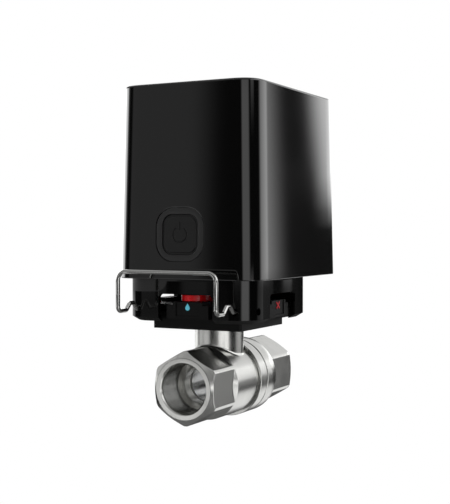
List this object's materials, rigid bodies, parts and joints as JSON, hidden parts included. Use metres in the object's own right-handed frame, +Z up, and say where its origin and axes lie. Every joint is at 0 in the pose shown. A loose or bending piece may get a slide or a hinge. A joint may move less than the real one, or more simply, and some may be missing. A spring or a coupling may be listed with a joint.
{
  "type": "motorised water ball valve",
  "caption": "Motorised water shut-off valve: black actuator box held by a wire clip on a plated ball valve, with a manual handle and a push button.",
  "frame": {"origin": "centre of the ball, where the stem axis crosses the pipe axis", "axes": "+Y along the pipe from the front port to the rear port, +Z up the stem to the actuator, +X to the right"},
  "size_m": [0.0786, 0.1224, 0.1683],
  "materials": {
    "nickel_plate": "nickel plated, fine turned",
    "stem_brass": "turned, bare",
    "ball_chrome": "polished",
    "seat_ptfe": "waxy white",
    "seal_rubber": "moulded",
    "adapter_plastic": "fine spark texture",
    "drop_paint": "printed, satin",
    "cross_paint": "printed, satin",
    "handle_red": "moulded, glossy",
    "screw_steel": "zinc plated",
    "clip_wire": "drawn and polished stainless wire",
    "skirt_plastic": "moulded, satin gloss",
    "cover_plastic": "moulded, satin gloss",
    "bezel_plastic": "moulded, satin",
    "button_plastic": "moulded, satin",
    "gear_acetal": "moulded acetal",
    "shaft_steel": "ground",
    "motor_steel": "zinc plated can",
    "pinion_brass": "hobbed",
    "chassis_plastic": "glass-filled, matt",
    "cell_wrap": "shrink wrap",
    "board_laminate": "solder mask",
    "shield_can": "tinned"
  },
  "bodies": {
    "valve": {"valve_body": "nickel_plate", "end_connector": "nickel_plate", "joint_seal": "seal_rubber", "ball_seats": "seat_ptfe", "thrust_washer": "seat_ptfe", "mount_plate": "adapter_plastic", "lock_nut": "stem_brass", "open_signs": "drop_paint", "closed_signs": "cross_paint", "lower_case": "skirt_plastic", "housing_cover": "cover_plastic", "cover_gasket": "seal_rubber", "cover_screws": "screw_steel", "button_bezel": "bezel_plastic", "shaft_seal": "seal_rubber", "second_axle": "shaft_steel", "first_axle": "shaft_steel", "motor_case": "motor_steel", "motor_screws": "screw_steel", "chassis_pillars": "pinion_brass", "chassis_plate": "chassis_plastic", "chassis_screws": "screw_steel", "battery_tray": "chassis_plastic", "battery_cells": "cell_wrap", "contact_board": "board_laminate", "circuit_board": "board_laminate", "touch_switch": "bezel_plastic", "radio_module": "shield_can", "board_screws": "screw_steel"},
    "flow_control": {"ball": "ball_chrome", "stem": "stem_brass", "stem_o_rings": "seal_rubber", "manual_handle": "handle_red", "handle_screw": "screw_steel", "output_shaft": "gear_acetal", "output_gear": "gear_acetal", "gear_clip": "shaft_steel", "position_magnet": "ball_chrome"},
    "second_stage": {"second_gear": "gear_acetal"},
    "first_stage": {"first_gear": "gear_acetal"},
    "rotor": {"motor_pinion": "pinion_brass", "motor_shaft": "shaft_steel"},
    "clip": {"retaining_clip": "clip_wire"},
    "button": {"power_button": "button_plastic"}
  },
  "joints": [
    {"name": "valve_turn", "type": "hinge", "parent": "valve", "child": "flow_control", "pos_m": [0, 0, 0], "axis": [0, 0, 1], "range_deg": [-90, 0]},
    {"name": "second_spin", "type": "hinge", "parent": "valve", "child": "second_stage", "pos_m": [0, 0.031, 0.066], "axis": [0, 0, 1], "range_deg": [0, 376]},
    {"name": "first_spin", "type": "hinge", "parent": "valve", "child": "first_stage", "pos_m": [0.01612, 0.04712, 0.07], "axis": [0, 0, 1], "range_deg": [-1408, 0]},
    {"name": "rotor_spin", "type": "hinge", "parent": "valve", "child": "rotor", "pos_m": [0.00412, 0.04712, 0.09], "axis": [0, 0, 1], "range_deg": [0, 4222]},
    {"name": "clip_slide", "type": "slide", "parent": "valve", "child": "clip", "axis": [0, -1, 0], "range_m": [0, 0.065]},
    {"name": "button_press", "type": "slide", "parent": "valve", "child": "button", "axis": [0, 0.9998, -0.0178], "range_m": [0, 0.0006], "stiffness_N_per_m": 400}
  ],
  "couplings": [
    {"joint": "second_spin", "follows": "valve_turn", "ratio": -4.1667},
    {"joint": "first_spin", "follows": "valve_turn", "ratio": 15.625},
    {"joint": "rotor_spin", "follows": "valve_turn", "ratio": -46.875}
  ]
}
